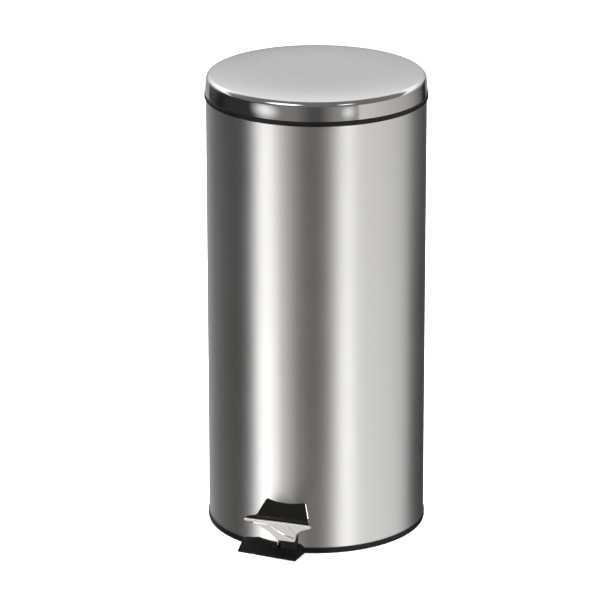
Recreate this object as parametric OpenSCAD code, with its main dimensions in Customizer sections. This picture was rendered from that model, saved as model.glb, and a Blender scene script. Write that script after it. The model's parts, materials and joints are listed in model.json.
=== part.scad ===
// Round steel pedal bin: a tall body with a lifting inner bucket, a domed lid on a rear hinge,
// and a pedal lever under the floor that raises the lid through a push rod and a crank.
// Origin: the body's axis where the base ring stands on the floor. +Z is up, -Y is the pedal side.

/* [Body] */
// Outside diameter of the steel body
body_d = 292; // [290:1:294]
// Height at which the bare steel ends under the top ring
steel_top = 592; // [560:1:620]
// Thickness of the body and lid steel
sheet = 0.8; // [0.6:0.1:1]

/* [Base] */
// Height of the base ring that shows below the steel
ring_h = 7.6; // [6:0.2:9]
// How far the base ring and the top ring stand out from the steel
ring_out = 1.2; // [0.8:0.1:2]
// Width of the front foot
foot_w = 84; // [80:1:92]
// How far the front foot reaches out from the body
foot_reach = 25; // [20:0.5:28]
// Height of the front foot where it meets the body
foot_h = 15.5; // [14:0.5:16]
// Turn of the front foot away from the pedal's own direction, in degrees
foot_turn = 5; // [0:0.5:8]

/* [Lid] */
// Height of the lid's side band
band_h = 19.4; // [18:0.2:24]
// Rise of the domed top above its edge
dome_rise = 4.6; // [3:0.2:6]
// Angle to which the pedal opens the lid
lid_angle = 75; // [60:1:78]

/* [Pedal] */
// How far the pedal's lip reaches out from the body
pedal_reach = 44; // [40:1:46]
// Width of the pedal's lip
lip_w = 91; // [86:1:96]
// Height of the lip above the floor
lip_z = 58; // [56:1:60]
// Height of the pedal's raised back edge
back_z = 76; // [72:1:80]
// How far the pedal and its pivot sit to the side of the bin's middle
lever_x = 10; // [0:1:11]
// Angle through which the pedal lever turns
pedal_angle = 7.3; // [6:0.1:7.6]

/* [Bucket] */
// Outside diameter of the inner bucket under its rim
bucket_d = 250.8; // [248:0.2:251]
// Height of the bucket's underside above the floor
bucket_z = 46; // [44:1:60]

/* [Hidden] */
$fn = 96;

STEEL = [0.74, 0.73, 0.71];
BRIGHT = [0.86, 0.86, 0.85];
BLACK = [0.09, 0.09, 0.09];
RUBBER = [0.06, 0.06, 0.06];
ZINC = [0.62, 0.64, 0.66];
NYLON = [0.80, 0.79, 0.74];
BUCKET = [0.17, 0.18, 0.19];

reach = 400;                          // longer than anything that is cut
body_r = body_d / 2;
shell_in = body_r - sheet;
ring_r = body_r + ring_out;
run = 0.08;                           // running clearance of a pin in its hole
tol = 0.1;                            // gap between pieces that are assembled

// Base
ring_in = body_r - 10;
upstand_top = 16;
upstand_in = body_r - 3.5;
upstand_r = shell_in - tol;
foot_top_y = 5;                       // depth of the foot's flat top, out from the body
foot_edge = 1.4;                      // thickness of the foot's front edge
foot_shift = 3;                       // the foot sits this far to the right of its own direction
foot_chamfer = 4.5;
foot_crown = 20;                      // from the foot's left end to its highest point
foot_dip = 2;                         // how far its top falls from there towards the lever
web_floor = 1.2;                      // thickness left under the lever's gap
apron_w = 44;                         // thin tongue of the base ring behind the lever's gap
apron_d = 38;
pad_r = 4.5;
pad_h = 1.5;
floor_z = 38;
floor_t = 1.2;
floor_flange = 8;

// Pedal lever: pivot, slopes and travel
pivot_y = -60;
pivot_z = 15;
pivot_r = 3;
tilt = pedal_angle / 2;               // the lever is level half-way through its travel
lever_w = 24;
lever_rear_w = 18;
lever_t = 1.5;
lever_top = 5;                        // edge of the flanges above the pivot
lever_drop = 5.5;                     // underside of the web below the pivot
lever_rise = 6.6;                     // how much the web climbs towards its rear end
lever_rear = 203;                     // rear end, from the pivot
rod_y = 140.5;
rear_arm = rod_y - pivot_y;
travel = 2 * rear_arm * sin(tilt);    // how far the push rod rises
bracket_x = 17.5;                     // half width of the pivot bracket
gap_w = 28;                           // opening for the lever in the ring and the body
gap_top = 29.5;
relief_w = 26;                        // room for the lever's rear end inside the base ring
relief_r = body_r - 1.4;

// Pedal plate, in the lever's rest position
lip_r = 2;
lip_y = -(body_r + pedal_reach - lip_r);
tread_y = lip_y + 21;
tread_z = lip_z - 3.6;
back_y = lip_y + 37.5;
plate_t = 1.2;
pad_t = 2.2;
fan_taper = 0.27;                     // the plate's half width falls by this much per millimetre
fan_curve = 0.0064;                   // and by this much more per square millimetre
back_dip = 3.2;                       // how far the middle of the back edge dips
back_half = 26;
dip_r = (back_half * back_half + back_dip * back_dip) / 2 / back_dip;
pad_inset = 1.8;                      // the pad stops short of the plate's sides
pad_over = 1.4;                       // and stands above its back edge
arm_straight = 4;                     // the arm widens from this far outside the body
arm_taper = 0.6;                      // its half width then grows by this much per millimetre
arm_curve = 0.0065;                   // and by this much more per square millimetre
bead_w = 5.6;                         // raised edges of the arm
bead_h = 1.1;
foot_gap = 2.2;                       // room for the pressed arm inside the front foot

// Hinge, crank and push rod
hinge_z = steel_top + 6;
crank_in = travel / 2 / tan(lid_angle / 2);    // from the hinge to the rod, measured level
crank_len = travel / 2 / sin(lid_angle / 2);   // from the hinge to the rod's pin
hinge_y = rod_y + crank_in;
pin_z = hinge_z - travel / 2;
pin_r = 2.5;
crank_r = 2;                          // pin through the rod's eye
slot_half = crank_r + 0.85;           // the crank's slot leaves room for the rod's uneven rise
rod_r = 2.5;
cheek_in = 5;
cheek_out = 7.5;
cheek_half = 4.8;                     // half height of a crank cheek
barrel_r = 5.5;
barrel_half = 19.5;
crank_gap = 20;
ear_in = 20;
ear_out = 28;
ear_r = 7.5;
block_y = body_r + 4;
block_z = 568;
screw_x = 15;
screw_z = 574;
screw_r = 2;
guide_zs = [130, 470];
guide_h = 12;
rivet_r = 1.6;
rivet_head = 3;
guide_rivet_x = 7;

// Top ring
ring_under = steel_top;
ring_top = steel_top + 6.2;
groove_top = steel_top + 4.2;
lug_skirt_z = steel_top - 8;
ledge_z = ring_top - 2.2;
ledge_r = 130.8;
ledge_in = 127.3;
crank_clear = 130.9;                  // the crank's gap starts at this radius
shell_top = steel_top + 4;
crank_slot_z = steel_top - 15;

// Lid
lid_z = ring_top + 0.3;
band_r = ring_r - 0.2;
band_top_r = band_r - 1.4;
edge_r = 5.5;
edge_z = lid_z + band_h;
edge_sweep = 79;                      // the rounded edge turns through this angle
dome_power = 5;
dome_r = band_top_r - edge_r + edge_r * cos(edge_sweep);
dome_z = edge_z + edge_r * sin(edge_sweep);
liner_in = 136.5;
liner_z = lid_z + 0.9;
bracket_z = lid_z + 1.7;
bracket_h = 17;
bracket_t = 1.8;
lid_rivet_x = 13;
lid_rivet_z = lid_z + 12;
bumper_turns = [-90, 30, 150];
bumper_r = 141;

// Bucket and its bail
rim_t = 1.5;
rim_z = ledge_z + tol;
rim_r = ledge_r - 0.4;
bucket_wall = 1.5;
bucket_foot_r = 118;
wire_r = 2;
grip_r = 4.5;
bail_z = rim_z + rim_t + 0.3 + grip_r;
bail_half = 114;
bail_back = 13.5;                     // straight legs between the pivots and the arc
grip_sweep = 44;
lug_x = 118;
lug_t = 3;

// Helpers ---------------------------------------------------------------------------------

// A cylinder along X from x0 to x1
module xrod(r, x0, x1) translate([x0, 0, 0]) rotate([0, 90, 0]) cylinder(r = r, h = x1 - x0);

// A cylinder along +Y from y0 to y1
module yrod(r, y0, y1) translate([0, y0, 0]) rotate([-90, 0, 0]) cylinder(r = r, h = y1 - y0);

// A side view (y, z) drawn out across the width
module across(width) rotate([90, 0, 90]) linear_extrude(width, center = true) children();

// A tube with its lower face at z0
module tube(r_out, r_in, z0, z1) difference() {
    translate([0, 0, z0]) cylinder(r = r_out, h = z1 - z0);
    translate([0, 0, z0 - 1]) cylinder(r = r_in, h = z1 - z0 + 2);
}

// Both sides of the middle plane
module both() {
    children();
    mirror([1, 0, 0]) children();
}

// The lever's own middle plane
module at_lever() translate([lever_x, 0, 0]) children();

// The box x0..x1, y0..y1, z0..z1
module block(x0, x1, y0, y1, z0, z1) translate([x0, y0, z0]) cube([x1 - x0, y1 - y0, z1 - z0]);

function unit(v) = v / norm(v);
function left(v) = [-v[1], v[0]];

// Points of the arc that rounds the corner b between a and c
function corner(a, b, c, r, n = 6) =
    let (u = unit(a - b), v = unit(c - b), half = acos(u * v) / 2,
         middle = b + unit(u + v) * r / sin(half), first = b + u * r / tan(half) - middle,
         last = b + v * r / tan(half) - middle)
    [for (i = [0:n]) let (p = first * (1 - i / n) + last * i / n) middle + unit(p) * r];

// The normal at point i of a path
function normal(p, i) = unit(
    (i > 0 ? left(unit(p[i] - p[i - 1])) : [0, 0])
    + (i < len(p) - 1 ? left(unit(p[i + 1] - p[i])) : [0, 0]));

// A strip of sheet between two offsets from a path
function strip(p, d0, d1) = concat(
    [for (i = [0:len(p) - 1]) p[i] + normal(p, i) * d0],
    [for (i = [len(p) - 1:-1:0]) p[i] + normal(p, i) * d1]);

// Body ------------------------------------------------------------------------------------

module body_shell() color(STEEL) difference() {
    tube(body_r, shell_in, ring_h, shell_top);
    at_lever() block(-gap_w / 2, gap_w / 2, -body_r - 1, -body_r + 20, 0, gap_top);
    block(-crank_gap / 2, crank_gap / 2, body_r - 20, body_r + 1, crank_slot_z, shell_top + 1);
    for (s = [-1, 1]) {
        translate([s * screw_x, 0, screw_z]) yrod(screw_r, 100, reach);
        for (z = guide_zs) translate([s * guide_rivet_x, 0, z + guide_h / 2]) yrod(rivet_r, 100, reach);
    }
}

module base_ring() color(BLACK) difference() {
    union() {
        rotate_extrude() polygon([
            [ring_in, 0], [ring_r - 1.5, 0], [ring_r - 0.4, 0.5], [ring_r, 1.7], [ring_r, ring_h],
            [upstand_r, ring_h], [upstand_r, upstand_top], [upstand_in, upstand_top],
            [upstand_in, ring_h + 1], [ring_in, ring_h + 1]]);
        at_lever() block(-apron_w / 2, apron_w / 2, -ring_in - 1, -ring_in + apron_d, 0, web_floor);
    }
    at_lever() block(-gap_w / 2, gap_w / 2, -ring_r - 1, -ring_in + 20, web_floor, upstand_top + 1);
    block(-relief_w / 2, relief_w / 2, ring_in - 20, ring_r + 1, ring_h, upstand_top + 1);
    intersection() {
        translate([0, 0, -1]) cylinder(r = relief_r, h = ring_h + 2);
        block(-relief_w / 2, relief_w / 2, ring_in - 20, reach, -1, ring_h + 1);
    }
    pad_places() translate([0, 0, -1]) cylinder(r = pad_r, h = pad_h + 1);
}

module pad_places() for (a = [45, 135, 225, 315]) rotate(a) translate([ring_in + 4.9, 0, 0]) children();

module base_pads() color(RUBBER) pad_places() cylinder(r = pad_r, h = pad_h);

module front_foot() color(BLACK) difference() {
    rotate(-foot_turn) difference() {
        intersection() {
            across(2 * foot_w) polygon([
                [-100, 0], [-body_r - foot_reach, 0], [-body_r - foot_reach, foot_edge],
                [-body_r - foot_top_y, foot_h - 0.6], [-body_r - foot_top_y + 1, foot_h], [-100, foot_h]]);
            translate([foot_shift, 0, 0]) rotate([90, 0, 0]) linear_extrude(reach) polygon([
                [-foot_w / 2, 0], [foot_w / 2, 0], [foot_w / 2, foot_h - foot_dip - foot_chamfer],
                [foot_w / 2 - foot_chamfer, foot_h - foot_dip], [0, foot_h - foot_dip],
                [foot_crown - foot_w / 2, foot_h], [-foot_w / 2, foot_h - foot_chamfer]]);
        }
        translate([0, 0, -1]) cylinder(r = ring_r + tol / 2, h = foot_h + 2);
    }
    intersection() {
        linear_extrude(reach) lever_plan(-foot_gap);
        across(2 * lip_w) polygon([
            [-100, web_floor], pressed(arm_root) - [0, foot_gap + 0.4], pressed(arm_tip) - [0, foot_gap + 0.4],
            [lip_y, reach], [-100, reach]]);
    }
}

module base_floor() color(ZINC) difference() {
    union() {
        translate([0, 0, floor_z]) cylinder(r = shell_in - tol, h = floor_t);
        tube(shell_in - tol, shell_in - tol - floor_t, floor_z - floor_flange, floor_z + floor_t / 2);
    }
    block(-rod_r - 4, rod_r + 4, rod_y - 6, reach, 0, floor_z + 10);
    bracket_rivet_places() cylinder(r = rivet_r, h = reach, center = true);
}

// Pedal pivot, under the floor ------------------------------------------------------------

module at_pivot() translate([0, pivot_y, pivot_z]) children();

module bracket_rivet_places() for (x = [-1, 1], y = [-1, 1])
    at_lever() translate([x * 9, pivot_y + y * 12, floor_z]) children();

module pivot_bracket() color(ZINC) difference() {
    at_lever() {
        block(-bracket_x, bracket_x, pivot_y - 20, pivot_y + 20, floor_z - 2, floor_z);
        both() {
            block(bracket_x - 2, bracket_x, pivot_y - 8, pivot_y + 8, pivot_z, floor_z - 1);
            at_pivot() xrod(8, bracket_x - 2, bracket_x);
        }
    }
    at_lever() at_pivot() xrod(pivot_r, -30, 30);
    bracket_rivet_places() cylinder(r = rivet_r, h = 20, center = true);
}

module bracket_rivets() color(BRIGHT) bracket_rivet_places() {
    translate([0, 0, -2]) cylinder(r = rivet_r, h = 2 + floor_t);
    translate([0, 0, floor_t]) cylinder(r1 = rivet_head, r2 = 1.8, h = 1.2);
    translate([0, 0, -3]) cylinder(r = rivet_head, h = 1);
}

module pivot_pin() color(BRIGHT) at_lever() at_pivot() {
    xrod(pivot_r, -bracket_x, bracket_x);
    both() xrod(4.6, bracket_x, bracket_x + 1.8);
}

module pivot_washers() color(NYLON) at_lever() both() at_pivot() difference() {
    xrod(6.5, lever_w / 2 + 0.3, bracket_x - 2.1);
    xrod(pivot_r + run, 10, 20);
}

// Top ring and hinge ----------------------------------------------------------------------

module top_ring() color(BLACK) difference() {
    rotate_extrude() polygon([
        [ledge_in, ledge_z - 8], [ledge_in + 2, ledge_z - 8], [ledge_in + 2, ledge_z - 2.2],
        [ledge_r + 2.8, ledge_z - 2.2], [ledge_r + 2.8, ring_top - 2.6], [upstand_in, ring_top - 2.6],
        [upstand_in, lug_skirt_z], [upstand_r, lug_skirt_z], [upstand_r, groove_top],
        [body_r + tol, groove_top], [body_r + tol, ring_under], [ring_r + 0.4, ring_under],
        [ring_r + 0.8, ring_under + 0.6], [ring_r + 0.8, ring_top - 1], [ring_r, ring_top],
        [ledge_r, ring_top], [ledge_r, ledge_z], [ledge_in, ledge_z]]);
    block(-crank_gap / 2, crank_gap / 2, crank_clear, reach, crank_slot_z, reach * 2);
}

module at_hinge() translate([0, hinge_y, hinge_z]) children();

module hinge_block() color(BLACK) difference() {
    union() {
        block(-ear_out, ear_out, body_r - 8, block_y, block_z, ring_under - 0.3);
        both() {
            block(ear_in, ear_out, block_y - 3, hinge_y, screw_z + 4, ring_under - 0.3);
            block(ear_in, ear_out, block_y - 1, hinge_y, ring_under - 2, hinge_z);
            at_hinge() xrod(ear_r, ear_in, ear_out);
        }
    }
    cylinder(r = body_r + tol, h = reach * 2);
    block(-crank_gap / 2, crank_gap / 2, 100, reach, crank_slot_z, reach * 2);
    at_hinge() xrod(pin_r, -reach, reach);
    for (s = [-1, 1]) translate([s * screw_x, 0, screw_z]) yrod(screw_r, 100, reach);
}

module hinge_screws() color(BRIGHT) for (s = [-1, 1]) translate([s * screw_x, 0, screw_z]) difference() {
    union() {
        yrod(screw_r, body_r - 8, block_y);
        yrod(3.6, block_y, block_y + 2);
    }
    block(-2.6, 2.6, block_y + 1.1, block_y + 3, -0.5, 0.5);
    block(-0.5, 0.5, block_y + 1.1, block_y + 3, -2.6, 2.6);
}

module hinge_nuts() color(ZINC) for (s = [-1, 1]) translate([s * screw_x, 0, screw_z]) difference() {
    translate([0, body_r - 5.6, 0]) rotate([-90, 0, 0]) cylinder(r = 4, h = 3, $fn = 6);
    yrod(screw_r, 100, reach);
}

module hinge_pin() color(BRIGHT) at_hinge() {
    xrod(pin_r, -ear_out, ear_out);
    xrod(4, -ear_out - 1.6, -ear_out);
    xrod(2, ear_out, ear_out + 1);
}

// Lid -------------------------------------------------------------------------------------

// The lid's outside, drawn in by d
function lid_line(d) = concat(
    [[band_r - d, lid_z]],
    [for (i = [0:8]) let (a = edge_sweep * i / 8, r = edge_r - d)
        [band_top_r - edge_r + r * cos(a), edge_z + r * sin(a)]],
    [for (i = [1:14]) let (k = 1 - i / 14)
        [dome_r * k, dome_z + dome_rise * (1 - pow(k, dome_power)) - d]]);

module lid_shell() color(STEEL) difference() {
    rotate_extrude() polygon(concat(lid_line(0), [[0, lid_z]]));
    rotate_extrude() polygon(concat(lid_line(sheet), [[0, lid_z]]));
    for (s = [-1, 1]) translate([s * lid_rivet_x, 0, lid_rivet_z]) yrod(rivet_r, 100, reach);
}

module lid_liner() color(BLACK) difference() {
    rotate_extrude() polygon([
        [liner_in, liner_z], [band_r - sheet - 0.2, liner_z], [band_r - sheet - 0.6, liner_z + 7],
        [band_r - sheet - 1.8, liner_z + 7], [band_r - sheet - 1.8, liner_z + 1.6],
        [liner_in + 1.3, liner_z + 1.6], [liner_in + 1.3, liner_z + 4], [liner_in, liner_z + 4]]);
    block(-crank_gap / 2, crank_gap / 2, 100, reach, 0, reach * 2);
}

module crank_frame() at_hinge() rotate([lid_angle / 2, 0, 0]) children();

module lid_bracket() color(ZINC) difference() {
    union() {
        at_hinge() xrod(barrel_r, -barrel_half, barrel_half);
        intersection() {
            union() {
                rotate_extrude() polygon([
                    [band_r - 0.02, bracket_z], [band_r + bracket_t, bracket_z],
                    [band_r + bracket_t, bracket_z + bracket_h],
                    [band_r + 0.1, bracket_z + bracket_h]]);
                difference() {
                    block(-reach, reach, 120, hinge_y, bracket_z, bracket_z + 2.4);
                    cylinder(r = band_r + 1, h = reach * 2);
                }
            }
            block(-barrel_half, barrel_half, 100, reach, 0, reach * 2);
        }
        both() crank_frame() {
            block(cheek_in, cheek_out, -crank_len, 0, -cheek_half, cheek_half);
            translate([0, -crank_len, 0]) xrod(cheek_half, cheek_in, cheek_out);
        }
    }
    at_hinge() xrod(pin_r + run, -reach, reach);
    crank_frame() {
        translate([0, -crank_in, 0]) xrod(slot_half, -20, 20);
        translate([0, -crank_len, 0]) xrod(slot_half, -20, 20);
        block(-20, 20, -crank_len, -crank_in, -slot_half, slot_half);
    }
    for (s = [-1, 1]) translate([s * lid_rivet_x, 0, lid_rivet_z]) yrod(rivet_r, 100, reach);
}

module lid_rivets() color(BRIGHT) for (s = [-1, 1]) translate([s * lid_rivet_x, 0, lid_rivet_z]) {
    yrod(rivet_r, body_r - 4, body_r + 2.5);
    yrod(rivet_head, body_r + 2.5, body_r + 3.6);
    yrod(rivet_head, body_r - 4, body_r - 3);
}

module lid_bumpers() color(RUBBER) for (a = bumper_turns) rotate(a) translate([bumper_r, 0, 0])
    translate([0, 0, lid_z]) cylinder(r = 3, h = liner_z - lid_z);

// Pedal: lever, plate and pad -------------------------------------------------------------

// A point of the lever's own side view, turned to its rest position
function lever_point(y, z) = [pivot_y + y * cos(tilt) + z * sin(tilt), pivot_z - y * sin(tilt) + z * cos(tilt)];

arm_back = -body_r + 6;               // where the side walls start to fade towards the lip
arm_front = lip_y + lip_r + tol;
arm_z = pivot_z - lever_drop + (pivot_y + body_r) * tan(tilt);
arm_top = arm_z + lever_top + lever_drop;
arm_root = [-body_r - 4, arm_z + 0.3];
arm_tip = [lip_y, lip_z + 0.2];

// The web's underside, seen from the side: it climbs to the rear end, and steeply to the lip
lever_path = concat(
    [lever_point(lever_rear + 1, lever_rise - lever_drop), lever_point(10, -lever_drop)],
    corner(lever_point(10, -lever_drop), arm_root, arm_tip, 9),
    [arm_tip]);
arm_path = [for (i = [2:len(lever_path) - 1]) lever_path[i]];

// Where a point of the resting lever is when the pedal is pressed
function pressed(p) = let (y = p[0] - pivot_y, z = p[1] - pivot_z)
    [pivot_y + y * cos(pedal_angle) - z * sin(pedal_angle), pivot_z + y * sin(pedal_angle) + z * cos(pedal_angle)];

// One side of the lever's plan from its rear end to the lip, drawn in by d
function lever_side(s, d) = concat(
    [[s * (lever_rear_w / 2 - d), pivot_y + lever_rear], [lever_x + s * (lever_w / 2 - d), pivot_y + 30]],
    [for (i = [0:12])
        let (out = (-body_r - arm_straight - arm_front) * i / 12, slope = arm_taper + 2 * arm_curve * out,
             half = lever_w / 2 + arm_taper * out + arm_curve * out * out - d * sqrt(1 + slope * slope * i / 12))
        [lever_x + s * half, -body_r - arm_straight - out]]);

module lever_plan(d) polygon(concat(
    lever_side(1, d),
    let (other = lever_side(-1, d)) [for (i = [len(other) - 1:-1:0]) other[i]]));

// The lever's upturned sides: level along the floor, fading out towards the lip
module lever_walls() polygon(concat(
    lever_path,
    [for (i = [0:8]) let (k = 1 - i / 8)
        [-body_r + k * (lip_y + body_r), arm_top + (lip_z + 1.3 - arm_top) * pow(k, 1.2)]],
    [[arm_back, arm_top - 0.4], lever_point(lever_rear + 1, lever_top)]));

// The part of the lever whose plan lies between two inward offsets
module lever_band(d0, d1) intersection() {
    linear_extrude(100) difference() {
        lever_plan(d0);
        lever_plan(d1);
    }
    across(2 * lip_w) children();
}

module pedal_lever() color(BRIGHT) difference() {
    union() {
        intersection() {
            linear_extrude(100) lever_plan(0);
            across(2 * lip_w) polygon(strip(lever_path, 0, -lever_t));
        }
        lever_band(0, lever_t) lever_walls();
        lever_band(0, bead_w) polygon(strip(arm_path, -0.1, bead_h));
        lever_band(bead_w / 4, bead_w * 3 / 4) polygon(strip(arm_path, -0.1, bead_h * 1.5));
    }
    at_lever() at_pivot() xrod(pivot_r + run, -30, 30);
}

plate_path = concat(
    [[lip_y, lip_z + lip_r - plate_t / 2]],
    corner([lip_y, lip_z + lip_r], [tread_y, tread_z], [back_y, back_z], 9, 8),
    [[back_y, back_z]]);

function fan_half(y) = let (d = y - lip_y) lip_w / 2 - fan_taper * d - fan_curve * d * d;

module fan_plan(d, front) polygon([for (s = [-1, 1], i = [0:12])
    let (k = s < 0 ? i / 12 : 1 - i / 12, y = front + (back_y + 6 - front) * k)
    [s * (fan_half(y) - d), y]]);

// The back edge dips in the middle and ends at the height top
module back_trim(top) intersection() {
    difference() {
        block(-reach, reach, lip_y - 10, -100, 0, reach);
        translate([0, 0, top - back_dip + dip_r]) yrod(dip_r, -200, -100);
    }
    cylinder(r = reach, h = top + 0.4);
}

module pedal_plate() color(BRIGHT) at_lever() {
    intersection() {
        linear_extrude(100) fan_plan(0, lip_y);
        across(lip_w) polygon(strip(plate_path, -plate_t / 2, plate_t / 2));
        back_trim(back_z - pad_over);
    }
    translate([0, lip_y, lip_z]) xrod(lip_r, -lip_w / 2, lip_w / 2);
}

module pedal_pad() color(RUBBER) at_lever() intersection() {
    linear_extrude(100) fan_plan(pad_inset, lip_y + 1.2);
    across(lip_w) polygon(strip(plate_path, plate_t / 2, plate_t / 2 + pad_t));
    back_trim(back_z);
}

// Push rod --------------------------------------------------------------------------------

rod_rest = pivot_z - rear_arm * sin(tilt) + (lever_rise - lever_drop + lever_t) * cos(tilt) + 0.4;

module at_rod() translate([0, rod_y, 0]) children();

module push_rod() color(BRIGHT) at_rod() translate([0, 0, rod_rest + 2]) cylinder(r = rod_r, h = pin_z - 6 - rod_rest - 2);

module rod_foot() color(NYLON) at_rod() difference() {
    rotate_extrude() polygon([
        [0, rod_rest], [2, rod_rest], [4, rod_rest + 1.5], [4, rod_rest + 12], [0, rod_rest + 12]]);
    translate([0, 0, rod_rest + 2]) cylinder(r = rod_r, h = 20);
}

module rod_eye() color(ZINC) at_rod() difference() {
    union() {
        translate([0, 0, pin_z]) xrod(4.8, -4.4, 4.4);
        translate([0, 0, pin_z - 16]) cylinder(r = 4, h = 14);
    }
    translate([0, 0, pin_z]) xrod(crank_r, -10, 10);
    translate([0, 0, pin_z - 20]) cylinder(r = rod_r, h = 14);
}

module crank_pin() color(BRIGHT) at_rod() translate([0, 0, pin_z]) {
    xrod(crank_r, -7.8, 7.8);
    both() xrod(3.6, 7.8, 8.9);
}

module rod_guides() color(NYLON) for (z = guide_zs) translate([0, 0, z]) difference() {
    intersection() {
        block(-11, 11, rod_y - 6, reach, 0, guide_h);
        cylinder(r = shell_in - 0.02, h = guide_h);
    }
    at_rod() translate([0, 0, -1]) cylinder(r = rod_r + run, h = guide_h + 2);
    for (s = [-1, 1]) translate([s * guide_rivet_x, 0, guide_h / 2]) yrod(rivet_r, 100, reach);
}

module guide_rivets() color(BRIGHT) for (s = [-1, 1], z = guide_zs)
    translate([s * guide_rivet_x, 0, z + guide_h / 2]) {
        yrod(rivet_r, rod_y - 6, body_r);
        yrod(rivet_head, body_r, body_r + 1.1);
    }

// Bucket and bail -------------------------------------------------------------------------

module inner_bucket() color(BUCKET) rotate_extrude() polygon([
    [0, bucket_z], [bucket_foot_r - 4, bucket_z], [bucket_foot_r, bucket_z + 4],
    [bucket_d / 2, rim_z - 1], [bucket_d / 2, rim_z], [rim_r, rim_z], [rim_r, rim_z + rim_t],
    [bucket_d / 2 - bucket_wall, rim_z + rim_t], [bucket_foot_r - bucket_wall, bucket_z + 4.6],
    [bucket_foot_r - 4.6, bucket_z + bucket_wall], [0, bucket_z + bucket_wall]]);

module bail_lugs() color(BUCKET) both() difference() {
    intersection() {
        union() {
            block(lug_x, lug_x + lug_t, -8, 8, rim_z - 12, bail_z);
            translate([0, 0, bail_z]) xrod(5.2, lug_x, lug_x + lug_t);
            block(lug_x, reach, -8, 8, rim_z - 12, rim_z - 1);
        }
        cylinder(r = bucket_d / 2 - bucket_wall - 0.3, h = reach * 2);
    }
    translate([0, 0, bail_z]) xrod(wire_r + run, 100, reach);
}

module bail_wire() color(BRIGHT) translate([0, 0, bail_z]) {
    translate([0, -bail_back, 0]) rotate(180) rotate_extrude(angle = 180) translate([bail_half, 0]) circle(r = wire_r);
    both() {
        translate([bail_half, 0, 0]) rotate([90, 0, 0]) cylinder(r = wire_r, h = bail_back);
        translate([bail_half, 0, 0]) sphere(r = wire_r);
        xrod(wire_r, bail_half, lug_x + lug_t + 1.2);
    }
}

module bail_grip() color(BLACK) translate([0, -bail_back, bail_z]) rotate(270 - grip_sweep / 2)
    rotate_extrude(angle = grip_sweep) translate([bail_half, 0]) difference() {
        circle(r = grip_r);
        circle(r = wire_r);
    }

body_shell();
base_ring();
front_foot();
base_pads();
base_floor();
pivot_bracket();
bracket_rivets();
pivot_pin();
pivot_washers();
top_ring();
hinge_block();
hinge_screws();
hinge_nuts();
hinge_pin();
rod_guides();
guide_rivets();
lid_shell();
lid_liner();
lid_bracket();
lid_rivets();
lid_bumpers();
pedal_lever();
pedal_plate();
pedal_pad();
push_rod();
rod_foot();
rod_eye();
crank_pin();
inner_bucket();
bail_lugs();
bail_wire();
bail_grip();
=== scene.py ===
# Looks of the round steel pedal bin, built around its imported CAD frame.
# Everything is in metres, in the frame's own axes: +Z up, -Y the pedal side.
import json
import math

import bmesh
import bpy
from mathutils import Euler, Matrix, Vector


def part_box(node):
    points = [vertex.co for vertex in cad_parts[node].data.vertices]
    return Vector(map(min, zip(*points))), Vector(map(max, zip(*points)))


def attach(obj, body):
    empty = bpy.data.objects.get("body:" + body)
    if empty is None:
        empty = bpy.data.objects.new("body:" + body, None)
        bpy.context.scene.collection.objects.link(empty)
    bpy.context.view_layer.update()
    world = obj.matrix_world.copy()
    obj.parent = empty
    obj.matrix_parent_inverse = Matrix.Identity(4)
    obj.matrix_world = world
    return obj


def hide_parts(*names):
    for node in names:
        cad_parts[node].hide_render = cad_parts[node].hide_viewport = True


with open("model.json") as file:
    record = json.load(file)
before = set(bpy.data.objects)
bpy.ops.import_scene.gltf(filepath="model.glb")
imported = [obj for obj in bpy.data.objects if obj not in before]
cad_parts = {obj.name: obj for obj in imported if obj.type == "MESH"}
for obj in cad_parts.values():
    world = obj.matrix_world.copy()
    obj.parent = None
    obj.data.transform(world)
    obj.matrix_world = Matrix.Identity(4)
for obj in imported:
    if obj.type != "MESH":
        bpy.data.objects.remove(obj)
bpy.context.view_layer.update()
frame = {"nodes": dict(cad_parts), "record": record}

# Camera: it looks down on the bin from in front and a little to the right of the pedal
CAM_AZIMUTH = math.radians(19.0)
CAM_DISTANCE = 4.90
CAM_HEIGHT = 1.993
CAM_PITCH = math.radians(18.99)
CAM_LENS, CAM_SENSOR = 231.6, 36.0      # in millimetres
CAM_SHIFT = -0.02733                    # as a share of the picture's width
CAM_FAR = 60.0

FLOOR_HALF = 14.0
FLOOR_GLOW = 0.3
FILL_SIZE, FILL_HEIGHT, FILL_ENERGY = 5.0, 4.0, 560.0

# The lid's outline: a side band that leans in, a rounded edge, and a dome that falls towards that edge
LID_LOW, LID_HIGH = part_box("lid_shell")
LID_SHEET = 0.0008
EDGE_RADIUS = 0.0075
EDGE_INSET = 0.0014                     # how far the band leans in
EDGE_END = math.radians(79.0)           # where the rounded edge passes into the dome
BAND_TILT = math.radians(2.2)
DOME_RISE = 0.0046
DOME_POWER = 5.0
EDGE_CENTRE_R = LID_HIGH.x - EDGE_INSET - EDGE_RADIUS
EDGE_CENTRE_Z = LID_HIGH.z - DOME_RISE - EDGE_RADIUS * math.sin(EDGE_END)
SATIN_FROM = LID_HIGH.z - DOME_RISE - 0.0001
SATIN_FADE = 0.0008
LID_TURNS, BAND_STEPS, EDGE_STEPS, DOME_STEPS = 288, 8, 14, 28

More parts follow.
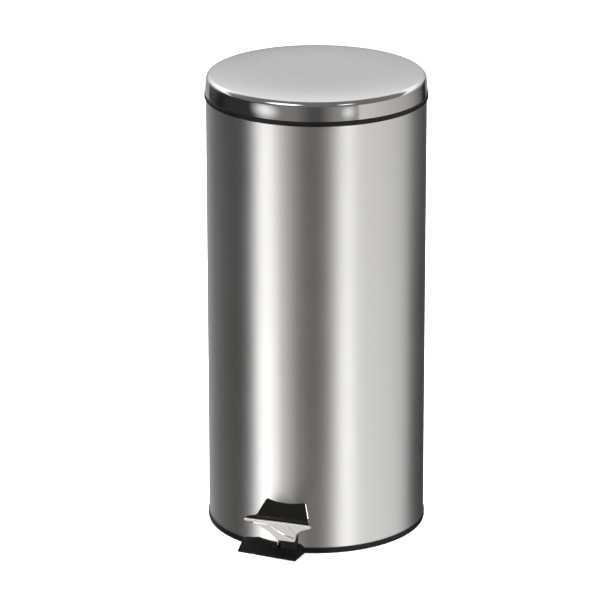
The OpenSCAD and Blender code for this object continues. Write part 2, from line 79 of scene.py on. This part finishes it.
# The pedal lever: the arm climbs from its root under the drum's edge to the pedal's lip
JOINTS = {joint["name"]: joint for joint in frame["record"]["behaviour"]["joints"]}
PEDAL_JOINT = JOINTS["pedal_pivot"]
PIVOT = Vector(PEDAL_JOINT["pos_m"])
LEVER_TILT = math.radians(PEDAL_JOINT["range_deg"][1] / 2)     # it is level half-way through its travel
LEVER_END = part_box("pedal_lever")[1].y
LEVER_SHEET = 0.0013
LEVER_DROP, LEVER_CLIMB = 0.0055, 0.0066                       # the web below the pin, and its rise behind it
KNEE_Y, REAR_Y = 0.010, 0.2028                                 # where that rise starts and ends, from the pin
LEVER_HALF, REAR_HALF, LIP_HALF = 0.012, 0.009, 0.0455
TAPER_FROM = PIVOT.y + 0.030
DRUM_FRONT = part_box("body_shell")[0].y
ARM_ROOT_Y = DRUM_FRONT - 0.004
ARM_ROOT_Z = PIVOT.z - LEVER_DROP + (PIVOT.y - DRUM_FRONT) * math.tan(LEVER_TILT) + 0.0003
LIP_Y, LIP_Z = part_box("pedal_plate")[0].y + 0.0035, 0.0565
ROOT_RADIUS, BEND_RADIUS = 0.009, 0.0022
# Half the arm's width is the lever's, plus a part that grows evenly and one that flares towards the lip
ARM_SPREAD, ARM_FLARE, FLARE_POWER = 0.015, 0.028, 4
# The walls' height at the lip, and what they gain towards the root
WALL_AT_LIP, WALL_GAIN, WALL_POWER = 0.0024, 0.0081, 3
WALL_ROW = 0.6                          # how far up the wall its middle row of points is
# The arm's pressed-in panel: its lower end climbs in a curve from its right side to its left
PANEL_DEPTH, PANEL_EDGE = 0.0020, 0.0022
PANEL_LOW, PANEL_RISE, PANEL_CURVE = 0.19, 0.63, 2.3
PANEL_RIGHT, PANEL_WIDE, PANEL_LEAN = 0.0220, 0.037, 0.011
PANEL_SCALE = 1.3 * (ARM_ROOT_Y - LIP_Y)                       # from shares of the arm to metres, roughly
ARM_STEPS, ROOT_STEPS, UNDER_STEPS, REAR_STEPS, ACROSS_STEPS = 40, 8, 6, 10, 72
BEND_TURNS = (math.radians(30), math.radians(60))

# Edges of the CAD's own meshes that are rounded: the node, its body and the edge's width
ROUNDED = [("front_foot", "housing", 0.0007), ("pedal_pad", "pedal", 0.0006),
           ("pedal_plate", "pedal", 0.0004)]
ROUND_FROM, ROUND_STEPS = math.radians(28.0), 3
SHARP_FROM = math.radians(50.0)
WELD, FLAT_WITHIN = 0.00001, math.radians(1.0)

# The part of a noise pattern's values that a material spreads its own values over
NOISE_RANGE = (0.3, 0.7)
# The drum's grain is long around the drum and short up its side
GRAIN_PER_RADIAN, GRAIN_PER_METRE = 0.9, 260.0

# Node helpers ------------------------------------------------------------------------------

def add(tree, kind, at=None, **settings):
    """A shader node; settings name its properties, and at gives its input values by name or index."""
    made = tree.nodes.new("ShaderNode" + kind)
    for name, value in settings.items():
        setattr(made, name, value)
    for name, value in (at or {}).items():
        if isinstance(value, bpy.types.NodeSocket):
            tree.links.new(value, made.inputs[name])
        else:
            made.inputs[name].default_value = value
    return made


def maths(tree, operation, *values):
    return add(tree, "Math", at=dict(enumerate(values)), operation=operation).outputs[0]


def ramp(tree, factor, stops):
    """A colour ramp; stops are (position, colour or grey level) pairs."""
    made = add(tree, "ValToRGB", at={"Fac": factor})
    cells = made.color_ramp.elements
    while len(cells) < len(stops):
        cells.new(1.0)
    for cell, (place, colour) in zip(cells, stops):
        cell.position = place
        cell.color = (*colour, 1.0) if isinstance(colour, tuple) else (colour, colour, colour, 1.0)
    return made.outputs["Color"]


def between(tree, value, low, high, out_low=0.0, out_high=1.0):
    """value taken smoothly from low..high to out_low..out_high."""
    made = add(tree, "MapRange", at={0: value, 1: low, 2: high, 3: out_low, 4: out_high},
               interpolation_type="SMOOTHSTEP")
    return made.outputs[0]


def share_of(tree, value, low, high):
    """value taken evenly from low..high to 0..1."""
    return add(tree, "MapRange", at={0: value, 1: low, 2: high}).outputs[0]


def vary(tree, pattern, low, high):
    """A noise pattern spread over low..high."""
    return between(tree, pattern, *NOISE_RANGE, low, high)


def tones(tree, pattern, dark, light):
    """A noise pattern spread from a dark to a light colour."""
    return ramp(tree, pattern, list(zip(NOISE_RANGE, (dark, light))))


def blend(tree, share, first, second):
    """The first colour passing into the second as share goes from 0 to 1."""
    return add(tree, "Mix", at={0: share, 6: first, 7: second}, data_type="RGBA").outputs[2]


def new_material(name, **values):
    """A material with one principled shader, whose sockets take the named values."""
    material = bpy.data.materials.new(name)
    material.use_nodes = True
    tree = material.node_tree
    tree.nodes.clear()
    shader = add(tree, "BsdfPrincipled")
    output = add(tree, "OutputMaterial")
    tree.links.new(shader.outputs[0], output.inputs[0])
    for key, value in values.items():
        shader.inputs[key.replace("_", " ")].default_value = value
    return material, tree, shader


def place_of(tree):
    """The object's own coordinates, in metres."""
    return add(tree, "TexCoord").outputs["Object"]


def noise(tree, vector, scale, detail=2.0, roughness=0.5):
    return add(tree, "TexNoise", at={"Vector": vector, "Scale": scale, "Detail": detail,
                                     "Roughness": roughness}).outputs[0]


def bump(tree, shader, height, distance):
    """Relief on the shader: height from 0 to 1 stands for distance, in metres."""
    made = add(tree, "Bump", at={"Height": height, "Distance": distance})
    tree.links.new(made.outputs[0], shader.inputs["Normal"])


def around(tree):
    """The angle about Z from the pedal side, and the height."""
    x, y, z = add(tree, "SeparateXYZ", at={0: place_of(tree)}).outputs
    return maths(tree, "ARCTAN2", x, maths(tree, "MULTIPLY", y, -1.0)), z


# Materials ---------------------------------------------------------------------------------

def satin_steel():
    """The drum: satin sheet with its grain running round the drum."""
    material, tree, shader = new_material("satin_steel", Metallic=1.0, Anisotropic=0.35,
                                          Anisotropic_Rotation=0.25)
    angle, height = around(tree)
    across = maths(tree, "MULTIPLY", angle, GRAIN_PER_RADIAN)
    up = maths(tree, "MULTIPLY", height, GRAIN_PER_METRE)
    stretched = add(tree, "CombineXYZ", at={0: across, 1: up}).outputs[0]
    grain = noise(tree, stretched, scale=6.0, detail=4.0, roughness=0.7)
    smear = noise(tree, place_of(tree), scale=5.0, detail=3.0, roughness=0.55)
    colour = tones(tree, smear, dark=(0.600, 0.592, 0.578), light=(0.635, 0.627, 0.615))
    tree.links.new(colour, shader.inputs["Base Color"])
    rough = maths(tree, "ADD", vary(tree, grain, 0.33, 0.39), vary(tree, smear, -0.015, 0.015))
    tree.links.new(rough, shader.inputs["Roughness"])
    tangent = add(tree, "Tangent", direction_type="RADIAL", axis="Z")
    tree.links.new(tangent.outputs[0], shader.inputs["Tangent"])
    bump(tree, shader, grain, 0.00002)
    return material


def lid_steel():
    """The lid: a satin top that runs over a rounded edge into a polished side band."""
    material, tree, shader = new_material("lid_steel", Metallic=1.0)
    height = around(tree)[1]
    top = between(tree, height, SATIN_FROM - SATIN_FADE, SATIN_FROM)
    grain = noise(tree, place_of(tree), scale=1400.0, detail=3.0, roughness=0.6)
    smear = noise(tree, place_of(tree), scale=9.0, detail=3.0, roughness=0.55)
    colour = tones(tree, smear, dark=(0.645, 0.643, 0.643), light=(0.660, 0.658, 0.658))
    tree.links.new(colour, shader.inputs["Base Color"])
    satin = maths(tree, "ADD", vary(tree, grain, 0.25, 0.30), vary(tree, smear, -0.008, 0.008))
    polished = vary(tree, smear, 0.05, 0.09)
    mixed = add(tree, "Mix", at={0: top, 2: polished, 3: satin}, data_type="FLOAT").outputs[0]
    tree.links.new(mixed, shader.inputs["Roughness"])
    bump(tree, shader, maths(tree, "MULTIPLY", grain, top), 0.00001)
    return material


def bright_steel():
    """Polished stampings, pins and rivets, with fine handling scratches."""
    material, tree, shader = new_material("bright_steel", Metallic=1.0)
    at = place_of(tree)
    stretch = add(tree, "Mapping", at={"Vector": at, "Scale": (1.0, 9.0, 9.0)}).outputs[0]
    scratch = noise(tree, stretch, scale=420.0, detail=3.0, roughness=0.65)
    smear = noise(tree, at, scale=40.0, detail=3.0, roughness=0.6)
    colour = tones(tree, smear, dark=(0.70, 0.69, 0.68), light=(0.76, 0.75, 0.745))
    tree.links.new(colour, shader.inputs["Base Color"])
    rough = maths(tree, "ADD", vary(tree, smear, 0.10, 0.17), between(tree, scratch, 0.45, 0.7, 0.0, 0.05))
    tree.links.new(rough, shader.inputs["Roughness"])
    bump(tree, shader, scratch, 0.00001)
    return material


def zinc_steel():
    """Zinc plated sheet, with the plating's soft spangle."""
    material, tree, shader = new_material("zinc_steel", Metallic=1.0)
    at = place_of(tree)
    cells = add(tree, "TexVoronoi", at={"Vector": at, "Scale": 160.0}).outputs["Color"]
    tone = add(tree, "SeparateColor", at={0: cells}).outputs[0]
    colour = ramp(tree, tone, [(0.0, (0.50, 0.52, 0.54)), (1.0, (0.58, 0.60, 0.62))])
    tree.links.new(colour, shader.inputs["Base Color"])
    tree.links.new(between(tree, tone, 0.0, 1.0, 0.30, 0.42), shader.inputs["Roughness"])
    bump(tree, shader, noise(tree, at, scale=600.0, detail=3.0), 0.00002)
    return material


def moulded(name, dark, light, rough, grain_scale, grain_depth, specular=0.5):
    """Moulded plastic or rubber: a fine grain, and a tone and roughness that vary within their ranges."""
    material, tree, shader = new_material(name, Specular_IOR_Level=specular)
    at = place_of(tree)
    grain = noise(tree, at, scale=grain_scale, roughness=0.6)
    smear = noise(tree, at, scale=30.0, detail=3.0, roughness=0.6)
    tree.links.new(tones(tree, smear, dark, light), shader.inputs["Base Color"])
    gloss = maths(tree, "ADD", vary(tree, smear, *rough), vary(tree, grain, -0.03, 0.03))
    tree.links.new(gloss, shader.inputs["Roughness"])
    bump(tree, shader, grain, grain_depth)
    return material


PLASTICS = {
    "black_plastic": dict(dark=(0.0042, 0.0038, 0.0035), light=(0.0068, 0.0062, 0.0058),
                          rough=(0.36, 0.46), grain_scale=1500.0, grain_depth=0.00004, specular=0.17),
    "bucket_plastic": dict(dark=(0.050, 0.052, 0.055), light=(0.064, 0.066, 0.070),
                           rough=(0.42, 0.52), grain_scale=900.0, grain_depth=0.00005),
    "nylon": dict(dark=(0.66, 0.65, 0.59), light=(0.72, 0.71, 0.66),
                  rough=(0.40, 0.50), grain_scale=800.0, grain_depth=0.00003),
    "rubber": dict(dark=(0.006, 0.006, 0.006), light=(0.011, 0.011, 0.011),
                   rough=(0.60, 0.72), grain_scale=1200.0, grain_depth=0.00005, specular=0.25),
    "pad_rubber": dict(dark=(0.0038, 0.0036, 0.0034), light=(0.0062, 0.0059, 0.0056),
                       rough=(0.50, 0.60), grain_scale=1600.0, grain_depth=0.00004, specular=0.10),
}
MATERIALS = {"satin_steel": satin_steel(), "lid_steel": lid_steel(), "bright_steel": bright_steel(),
             "zinc_steel": zinc_steel()}
MATERIALS.update({name: moulded(name, **look) for name, look in PLASTICS.items()})
SLOTS = {row["node"]: row["material_slot"] for row in frame["record"]["subparts"]}


def dress_cad_nodes():
    """Every CAD node takes its slot's material."""
    for name, thing in frame["nodes"].items():
        thing.data.materials.clear()
        thing.data.materials.append(MATERIALS[SLOTS[name]])


# Pieces built in mesh -----------------------------------------------------------------------

def stand_in(mesh, node, body):
    """A smooth mesh as the piece that stands for one CAD node and moves with its body."""
    mesh.shade_smooth()
    mesh.materials.clear()
    mesh.materials.append(MATERIALS[SLOTS[node]])
    piece = bpy.data.objects.new(mesh.name, mesh)
    bpy.context.scene.collection.objects.link(piece)
    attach(piece, body)
    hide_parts(node)
    return piece


def new_mesh(name, points, faces):
    mesh = bpy.data.meshes.new(name)
    mesh.from_pydata(points, [], faces)
    mesh.validate()
    return mesh


def lid_outline(inward):
    """The lid's profile from its lower edge to its middle, as (radius, height) pairs.

    The band is an arc that passes smoothly into the rounded edge; inward is the depth into the sheet.
    """
    start = 2.0 * math.atan(EDGE_INSET / (EDGE_CENTRE_Z - LID_LOW.z)) - BAND_TILT
    height = EDGE_CENTRE_Z + EDGE_RADIUS * math.sin(start) - LID_LOW.z
    crown = height / (math.sin(start) - math.sin(BAND_TILT))
    line = []
    for i in range(BAND_STEPS + 1):
        share = i / BAND_STEPS
        turn = BAND_TILT + (start - BAND_TILT) * share
        out = crown * (math.cos(turn) - math.cos(BAND_TILT)) - inward * math.cos(turn)
        up = crown * (math.sin(turn) - math.sin(BAND_TILT)) - inward * math.sin(turn) * share
        line.append((LID_HIGH.x + out, LID_LOW.z + up))
    reach = EDGE_RADIUS - inward
    for i in range(1, EDGE_STEPS + 1):
        turn = start + (EDGE_END - start) * i / EDGE_STEPS
        line.append((EDGE_CENTRE_R + reach * math.cos(turn), EDGE_CENTRE_Z + reach * math.sin(turn)))
    rim_r = EDGE_CENTRE_R + EDGE_RADIUS * math.cos(EDGE_END)
    for i in range(1, DOME_STEPS):
        share = math.sin(math.pi / 2 * (1 - i / DOME_STEPS))
        line.append((rim_r * share, LID_HIGH.z - DOME_RISE * share ** DOME_POWER - inward))
    return line


def make_lid_shell():
    """The lid's sheet, turned about the axis: outside and inside each end at their own pole."""
    rings = lid_outline(0.0) + lid_outline(LID_SHEET)[::-1]
    half = len(rings) // 2
    turns = [(j, (j + 1) % LID_TURNS) for j in range(LID_TURNS)]
    points = [(r * math.cos(math.tau * j / LID_TURNS), r * math.sin(math.tau * j / LID_TURNS), z)
              for r, z in rings for j in range(LID_TURNS)]
    starts = [i * LID_TURNS for i in range(len(rings))]
    faces = []
    for i, here in enumerate(starts):
        after = starts[(i + 1) % len(starts)]
        if i != half - 1:
            faces += [(here + j, here + k, after + k, after + j) for j, k in turns]
    outer_pole, inner_pole = len(points), len(points) + 1
    points += [(0.0, 0.0, LID_HIGH.z), (0.0, 0.0, LID_HIGH.z - LID_SHEET)]
    for j, k in turns:
        faces.append((starts[half - 1] + j, starts[half - 1] + k, outer_pole))
        faces.append((starts[half] + k, starts[half] + j, inner_pole))
    mesh = new_mesh("lid_pressing", points, faces)
    stand_in(mesh, "lid_shell", "lid")
    sharpen(mesh)


def sharpen(mesh):
    """Smooth shading that stops at the sheet's cut edges."""
    shape = bmesh.new()
    shape.from_mesh(mesh)
    bmesh.ops.recalc_face_normals(shape, faces=shape.faces)
    for edge in shape.edges:
        edge.smooth = len(edge.link_faces) == 2 and edge.calc_face_angle() < SHARP_FROM
    shape.to_mesh(mesh)
    shape.free()


def rounded_copy(node, body, width):
    """The node's own mesh with its edges rounded; other pieces don't mirror it."""
    shape = bmesh.new()
    shape.from_mesh(frame["nodes"][node].data)
    bmesh.ops.remove_doubles(shape, verts=shape.verts, dist=WELD)
    bmesh.ops.dissolve_limit(shape, angle_limit=FLAT_WITHIN, verts=shape.verts, edges=shape.edges)
    mesh = bpy.data.meshes.new(node + "_rounded")
    shape.to_mesh(mesh)
    shape.free()
    piece = stand_in(mesh, node, body)
    soften = piece.modifiers.new("edges", "BEVEL")
    soften.width = width
    soften.segments = ROUND_STEPS
    soften.limit_method = "ANGLE"
    soften.angle_limit = ROUND_FROM
    piece.modifiers.new("normals", "WEIGHTED_NORMAL")
    piece.visible_glossy = False


def lever_point(y, z):
    """A point of the lever's own side view, turned to its rest position."""
    turn = Vector((math.cos(LEVER_TILT), math.sin(LEVER_TILT)))
    return Vector((PIVOT.y + y * turn.x + z * turn.y, PIVOT.z - y * turn.y + z * turn.x))


def lever_path():
    """The web's underside in the lever's middle plane, as (y, z) points from the lip to the rear end."""
    root, tip = Vector((ARM_ROOT_Y, ARM_ROOT_Z)), Vector((LIP_Y, LIP_Z))
    knee = lever_point(KNEE_Y, -LEVER_DROP)
    rear = lever_point(REAR_Y, LEVER_CLIMB - LEVER_DROP)
    out, back = (tip - root).normalized(), (knee - root).normalized()
    half_angle = out.angle(back) / 2
    centre = root + (out + back).normalized() * (ROOT_RADIUS / math.sin(half_angle))
    reach = ROOT_RADIUS / math.tan(half_angle)
    first, last = root + out * reach, root + back * reach
    line = [tip.lerp(first, i / ARM_STEPS) for i in range(ARM_STEPS + 1)]
    for i in range(1, ROOT_STEPS + 1):
        line.append(centre + (first.lerp(last, i / ROOT_STEPS) - centre).normalized() * ROOT_RADIUS)
    line += [last.lerp(knee, i / UNDER_STEPS) for i in range(1, UNDER_STEPS + 1)]
    return line + [knee.lerp(rear, i / REAR_STEPS) for i in range(1, REAR_STEPS + 1)]


def clamp(value):
    return min(1.0, max(0.0, value))


def smooth_step(value):
    share = clamp(value)
    return share * share * (3.0 - 2.0 * share)


def lever_section(y):
    """Middle, half width, wall height and share of the way to the lip, at a place along the lever."""
    share = clamp((ARM_ROOT_Y - y) / (ARM_ROOT_Y - LIP_Y))
    taper = clamp((y - TAPER_FROM) / (LEVER_END - TAPER_FROM))
    climb = clamp((y - PIVOT.y - KNEE_Y) / (REAR_Y - KNEE_Y))
    half = min(LIP_HALF, LEVER_HALF + ARM_SPREAD * share + ARM_FLARE * share ** FLARE_POWER)
    half += (REAR_HALF - LEVER_HALF) * taper
    wall = WALL_AT_LIP + WALL_GAIN * (1.0 - share) ** WALL_POWER - LEVER_CLIMB * climb
    return PIVOT.x * (1.0 - taper), half, wall, share


def panel_depth(x, share):
    """How deep the arm's pressed-in panel is: it leans to one side and ends in a curve above the root."""
    reach = clamp((PANEL_RIGHT - x) / PANEL_WIDE)
    above = (share - PANEL_LOW - PANEL_RISE * reach ** PANEL_CURVE) * PANEL_SCALE
    inside = PANEL_RIGHT - PANEL_LEAN * (share - PANEL_LOW) - x
    return PANEL_DEPTH * smooth_step(above / PANEL_EDGE) * smooth_step(inside / PANEL_EDGE)


def make_lever():
    """The lever: one sheet with turned-up sides, whose arm flares to the lip around a pressed-in panel."""
    path = lever_path()
    points, rows = [], []
    for i, here in enumerate(path):
        before, after = path[max(0, i - 1)], path[min(len(path) - 1, i + 1)]
        along = (after - before).normalized()
        under = Vector((along[1], -along[0]))
        middle, half, wall, share = lever_section(here[0])
        flat = half - BEND_RADIUS
        side = [(-half, -wall), (-half, -wall * WALL_ROW), (-half, -BEND_RADIUS)]
        side += [(-half + BEND_RADIUS * (1 - math.cos(turn)), -BEND_RADIUS * (1 - math.sin(turn)))
                 for turn in BEND_TURNS]
        web = [-flat + 2 * flat * j / ACROSS_STEPS for j in range(ACROSS_STEPS + 1)]
        section = side + [(x, -panel_depth(x, share)) for x in web] + [(-x, n) for x, n in side[::-1]]
        rows.append(len(points))
        points += [(middle + x, here[0] + under[0] * n, here[1] + under[1] * n) for x, n in section]
    wide = len(points) // len(path)
    faces = [(rows[i] + j, rows[i] + j + 1, rows[i + 1] + j + 1, rows[i + 1] + j)
             for i in range(len(path) - 1) for j in range(wide - 1)]
    piece = stand_in(new_mesh("lever_pressing", points, faces), "pedal_lever", "pedal")
    sheet = piece.modifiers.new("sheet", "SOLIDIFY")
    sheet.thickness = LEVER_SHEET
    sheet.offset = 1.0                  # above the web's underside and inside the walls
    smooth = piece.modifiers.new("smooth", "SUBSURF")
    smooth.levels = smooth.render_levels = 1


# Stage -------------------------------------------------------------------------------------

def make_floor():
    """The pale floor, which no piece mirrors: the studio's own lower part stands for it there."""
    half = FLOOR_HALF
    corners = [(-half, -half, 0), (half, -half, 0), (half, half, 0), (-half, half, 0)]
    floor = bpy.data.objects.new("floor", new_mesh("floor", corners, [(0, 1, 2, 3)]))
    bpy.context.scene.collection.objects.link(floor)
    material, tree, shader = new_material("pale_floor", Roughness=0.9, Emission_Strength=FLOOR_GLOW)
    tone = tones(tree, noise(tree, place_of(tree), scale=0.4), dark=0.86, light=0.88)
    tree.links.new(tone, shader.inputs["Base Color"])
    floor.data.materials.append(material)
    floor.visible_glossy = False


def make_camera():
    """The camera, turned to the bin's axis; its shift sets the bin a little right of the middle."""
    camera = bpy.data.objects.new("camera", bpy.data.cameras.new("camera"))
    bpy.context.scene.collection.objects.link(camera)
    camera.data.sensor_width = CAM_SENSOR
    camera.data.lens = CAM_LENS
    camera.data.shift_x = CAM_SHIFT
    camera.location = (math.sin(CAM_AZIMUTH) * CAM_DISTANCE, -math.cos(CAM_AZIMUTH) * CAM_DISTANCE,
                       CAM_HEIGHT)
    camera.rotation_euler = Euler((math.pi / 2 - CAM_PITCH, 0.0, CAM_AZIMUTH))
    camera.data.clip_end = CAM_FAR
    bpy.context.scene.camera = camera


# Tints of the studio's light
NEUTRAL = (1.0, 1.0, 1.0)
WARM = (1.045, 1.0, 0.965)
WARMER = (1.10, 1.0, 0.90)
COOL = (0.985, 0.99, 1.02)

# The studio well below the horizon, which the drum mirrors.
# A row is the bearing from the camera in degrees, the brightness and the tint.
LOW_STUDIO = [
    (-180, 0.9, COOL), (-170, 0.55, COOL), (-155, 0.52, COOL), (-146, 0.36, NEUTRAL),
    (-125, 0.19, WARM), (-100, 0.10, WARM), (-82, 0.06, WARM), (-70, 0.22, NEUTRAL),
    (-63, 3.6, NEUTRAL), (-49, 3.5, NEUTRAL), (-43, 1.25, WARM), (-30, 0.98, WARM), (-22, 0.36, WARM),
    (-14, 0.09, WARM), (0, 0.11, WARM), (12, 0.20, WARM), (20, 0.85, WARM), (26, 2.7, NEUTRAL),
    (36, 3.7, NEUTRAL), (41, 1.15, NEUTRAL), (44, 1.37, NEUTRAL), (70, 1.28, NEUTRAL),
    (90, 1.13, NEUTRAL), (106, 0.96, NEUTRAL), (114, 0.50, NEUTRAL), (119, 0.04, WARM),
    (150, 0.02, WARM), (165, 0.06, WARM), (180, 0.9, NEUTRAL)]
# From there up to the horizon, which the lid's polished band mirrors
BAND_STUDIO = [
    (-180, 0.36, WARMER), (-147, 0.34, WARMER), (-143.5, 0.012, WARMER), (-118, 0.014, WARM),
    (-104, 0.036, WARM), (-64, 0.042, WARM), (-46, 0.20, WARM), (-38, 0.28, WARM), (-22, 0.24, WARM),
    (-6, 0.105, WARM), (3, 0.095, WARM), (12, 0.21, WARM), (20, 0.33, WARM), (42.5, 0.38, WARM),
    (44.5, 0.80, WARM), (60, 0.73, WARM), (82, 0.60, WARM), (100, 0.52, WARM), (116, 0.39, WARM),
    (134, 0.17, WARM), (144, 0.02, WARM), (152, 0.02, WARM), (157, 0.38, WARM), (180, 0.50, WARM)]
# Overhead, by the angle from straight up: from behind (-90) to the camera's side (90)
OVERHEAD = [
    (-90, 0.61, COOL), (-74, 0.63, COOL), (-67, 0.73, NEUTRAL), (-61, 1.00, NEUTRAL),
    (-56, 1.26, NEUTRAL), (-44, 1.26, NEUTRAL), (-38, 0.50, NEUTRAL), (-32, 0.22, WARM),
    (90, 0.18, WARM)]
# Straight down, where the pale floor is mirrored
NADIR = 0.80
# Where one of these passes into the next, by the Z of the direction
NADIR_BLEND, BAND_BLEND, OVERHEAD_BLEND = (-0.55, -0.78), (-0.268, -0.240), (0.03, 0.22)
PEAK = 4.0                              # brighter than any of their rows
WHITE = (1.0, 1.0, 1.0, 1.0)
# Soft lights: bearing from the camera and elevation, inner and outer radius, how flat, and brightness
SOFT_LIGHTS = [
    (-54.0, -7.0, 0.0, 20.0, 2.6, 1.15), (32.6, -6.4, 0.0, 10.5, 1.6, 0.70),
    (-40.0, 42.0, 10.0, 20.0, 1.0, 2.2), (36.0, 42.0, 3.0, 10.0, 1.0, 2.0),
    (-140.0, 20.0, 4.0, 40.0, 1.0, 0.5), (145.0, 20.0, 4.0, 34.0, 1.0, 0.15)]


def shade(brightness, tint):
    """A studio colour as a share of the peak."""
    return tuple(brightness / PEAK * part for part in tint)


def studio_ramp(tree, share, rows, reach):
    """A ramp over (place, brightness, tint) rows, whose places run from -reach to reach."""
    return ramp(tree, share, [((place + reach) / (2 * reach), shade(brightness, tint))
                              for place, brightness, tint in rows])


def soft_light(tree, direction, bearing, elevation, inner, outer, flat, brightness):
    """A light that fades from its inner to its outer radius, in degrees; flat above 1 makes it a low oval."""
    b, e = math.radians(bearing), math.radians(elevation)
    centre = (math.sin(b) * math.cos(e), -math.cos(b) * math.cos(e), math.sin(e))
    apart = add(tree, "VectorMath", at={0: direction, 1: centre}, operation="SUBTRACT").outputs[0]
    shaped = add(tree, "VectorMath", at={0: apart, 1: (1.0, 1.0, flat)}, operation="MULTIPLY").outputs[0]
    far = add(tree, "VectorMath", at={0: shaped}, operation="LENGTH").outputs["Value"]
    return between(tree, far, math.radians(outer), math.radians(inner), 0.0, brightness)


def make_world():
    """The studio that the steel mirrors; the camera itself sees white paper."""
    world = bpy.data.worlds.new("studio")
    bpy.context.scene.world = world
    world.use_nodes = True
    tree = world.node_tree
    tree.nodes.clear()
    facing = add(tree, "VectorRotate", at={"Vector": add(tree, "TexCoord").outputs["Generated"],
                                           "Angle": -CAM_AZIMUTH}, rotation_type="Z_AXIS").outputs[0]
    x, y, z = add(tree, "SeparateXYZ", at={0: facing}).outputs
    front = maths(tree, "MULTIPLY", y, -1.0)
    bearing = share_of(tree, maths(tree, "ARCTAN2", x, front), -math.pi, math.pi)
    pitch = share_of(tree, maths(tree, "ARCTAN2", front, z), -math.pi / 2, math.pi / 2)
    nadir = shade(NADIR, WARM) + (1.0,)
    low = blend(tree, between(tree, z, *NADIR_BLEND), studio_ramp(tree, bearing, LOW_STUDIO, 180), nadir)
    level = studio_ramp(tree, bearing, BAND_STUDIO, 180)
    lower_half = blend(tree, between(tree, z, *BAND_BLEND), low, level)
    above = studio_ramp(tree, pitch, OVERHEAD, 90)
    whole = blend(tree, between(tree, z, *OVERHEAD_BLEND), lower_half, above)
    lights = 0.0
    for row in SOFT_LIGHTS:
        lights = maths(tree, "ADD", lights, soft_light(tree, facing, *row))
    studio = add(tree, "Background", at={"Color": whole, "Strength": PEAK})
    softboxes = add(tree, "Background", at={"Color": WHITE, "Strength": lights})
    lit = add(tree, "AddShader", at={0: studio.outputs[0], 1: softboxes.outputs[0]})
    paper = add(tree, "Background", at={"Color": WHITE, "Strength": 1.0})
    seen = add(tree, "LightPath").outputs["Is Camera Ray"]
    both = add(tree, "MixShader", at={0: seen, 1: lit.outputs[0], 2: paper.outputs[0]})
    tree.links.new(both.outputs[0], add(tree, "OutputWorld").inputs[0])


def make_fill():
    """A soft overhead light that whitens the floor and rounds the dark pieces."""
    light = bpy.data.lights.new("overhead", "AREA")
    light.shape = "DISK"
    light.size = FILL_SIZE
    light.energy = FILL_ENERGY
    lamp = bpy.data.objects.new("overhead", light)
    lamp.location = (0.0, 0.0, FILL_HEIGHT)
    lamp.visible_glossy = False
    bpy.context.scene.collection.objects.link(lamp)


make_camera()
make_world()
make_fill()
make_floor()
dress_cad_nodes()
make_lid_shell()
make_lever()
for node, body, width in ROUNDED:
    rounded_copy(node, body, width)

bpy.context.scene.view_settings.view_transform = "Standard"
